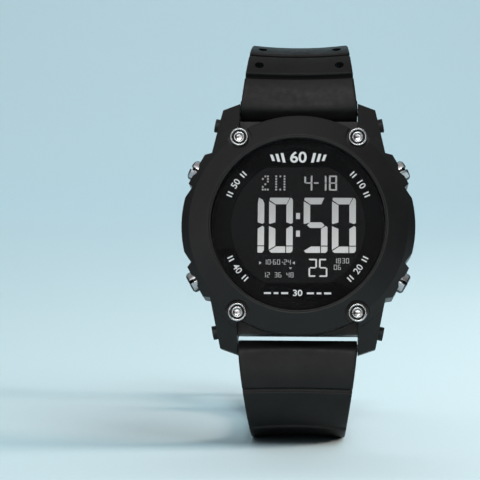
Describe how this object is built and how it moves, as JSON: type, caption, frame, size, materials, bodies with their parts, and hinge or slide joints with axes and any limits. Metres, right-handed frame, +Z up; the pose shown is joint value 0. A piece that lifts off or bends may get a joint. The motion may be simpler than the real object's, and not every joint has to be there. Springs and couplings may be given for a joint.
{
  "type": "digital wristwatch",
  "caption": "Resin digital wristwatch with a round dark display, side push buttons, a screwed bezel and an open curved strap with a pronged buckle.",
  "frame": {"origin": "bottom centre of the box around the standing watch", "axes": "+Z up, +X to the viewer's right of the dial, the dial facing -Y and leaning back 12 degrees"},
  "size_m": [0.0506, 0.0748, 0.088],
  "materials": {
    "case_resin": "satin moulded black resin",
    "strap_resin": "matte moulded black resin",
    "bright_steel": "polished",
    "button_steel": "turned steel",
    "back_steel": "circular brushed",
    "black_screw": "black coated steel",
    "mineral_glass": "clear",
    "black_print": "black print",
    "lcd_dark": "dark negative display",
    "lcd_light": "light grey display segments",
    "white_plastic": "white diffuser",
    "seal_rubber": "matte",
    "board_green": "solder mask",
    "black_epoxy": "potting",
    "contact_brass": "spring brass"
  },
  "bodies": {
    "case": {"bezel": "case_resin", "case_body": "case_resin", "bezel_screws": "bright_steel", "side_screws": "black_screw", "crystal": "mineral_glass", "dial_mask": "black_print", "crystal_gasket": "seal_rubber", "lcd_polariser": "lcd_dark", "lcd_glass": "mineral_glass", "lcd_reflector": "white_plastic", "light_guide": "white_plastic", "backlight_led": "white_plastic", "zebra_strips": "seal_rubber", "hour_digits": "lcd_light", "minute_digits": "lcd_light", "lcd_colon": "lcd_light", "date_digits": "lcd_light", "seconds_digits": "lcd_light", "module_frame": "case_resin", "circuit_board": "board_green", "chip_cover": "black_epoxy", "quartz_crystal": "back_steel", "module_screws": "back_steel", "battery": "back_steel", "battery_clip": "back_steel", "battery_contact": "contact_brass", "button_contacts": "contact_brass", "module_cover": "case_resin", "buzzer_spring": "contact_brass", "piezo_disc": "contact_brass", "case_back": "back_steel", "case_back_gasket": "seal_rubber", "case_back_screws": "back_steel", "pusher_sleeves": "button_steel", "pusher_seals": "seal_rubber", "spring_start": "contact_brass", "spring_light": "contact_brass", "spring_mode": "contact_brass", "spring_reset": "contact_brass", "spring_bar_upper": "button_steel", "spring_bar_lower": "button_steel"},
    "light_button": {"button_light": "button_steel", "clip_light": "back_steel"},
    "mode_button": {"button_mode": "button_steel", "clip_mode": "back_steel"},
    "start_button": {"button_start": "button_steel", "clip_start": "back_steel"},
    "reset_button": {"button_reset": "button_steel", "clip_reset": "back_steel"},
    "long_strap": {"strap_upper": "strap_resin"},
    "short_strap": {"strap_lower": "strap_resin"},
    "keeper": {"strap_keeper": "strap_resin"},
    "buckle": {"buckle_frame": "button_steel", "buckle_bar": "button_steel"},
    "prongs": {"buckle_prongs": "button_steel"}
  },
  "joints": [
    {"name": "start_press", "type": "slide", "parent": "case", "child": "start_button", "axis": [-0.8788, -0.0992, -0.4667], "range_m": [0, 0.0007], "stiffness_N_per_m": 800, "springref_m": -0.0005, "deforming": ["spring_start"]},
    {"name": "light_press", "type": "slide", "parent": "case", "child": "light_button", "axis": [0.8788, -0.0992, -0.4667], "range_m": [0, 0.0007], "stiffness_N_per_m": 800, "springref_m": -0.0005, "deforming": ["spring_light"]},
    {"name": "mode_press", "type": "slide", "parent": "case", "child": "mode_button", "axis": [0.8788, 0.0992, 0.4667], "range_m": [0, 0.0007], "stiffness_N_per_m": 800, "springref_m": -0.0005, "deforming": ["spring_mode"]},
    {"name": "reset_press", "type": "slide", "parent": "case", "child": "reset_button", "axis": [-0.8788, 0.0992, 0.4667], "range_m": [0, 0.0007], "stiffness_N_per_m": 800, "springref_m": -0.0005, "deforming": ["spring_reset"]},
    {"name": "long_strap_hinge", "type": "hinge", "parent": "case", "child": "long_strap", "pos_m": [0, -0.01959, 0.07252], "axis": [1, 0, 0], "range_deg": [-10, 30]},
    {"name": "short_strap_hinge", "type": "hinge", "parent": "case", "child": "short_strap", "pos_m": [0, -0.03044, 0.02146], "axis": [-1, 0, 0], "range_deg": [-5, 30]},
    {"name": "keeper_slide", "type": "slide", "parent": "short_strap", "child": "keeper", "axis": [0, 0.9511, 0.309], "range_m": [-0.004, 0.0025]},
    {"name": "buckle_hinge", "type": "hinge", "parent": "short_strap", "child": "buckle", "pos_m": [0, 0.02316, 0.00813], "axis": [-1, 0, 0], "range_deg": [-45, 35]},
    {"name": "prong_hinge", "type": "hinge", "parent": "buckle", "child": "prongs", "pos_m": [0, 0.02316, 0.00813], "axis": [-1, 0, 0], "range_deg": [0, 75]}
  ]
}
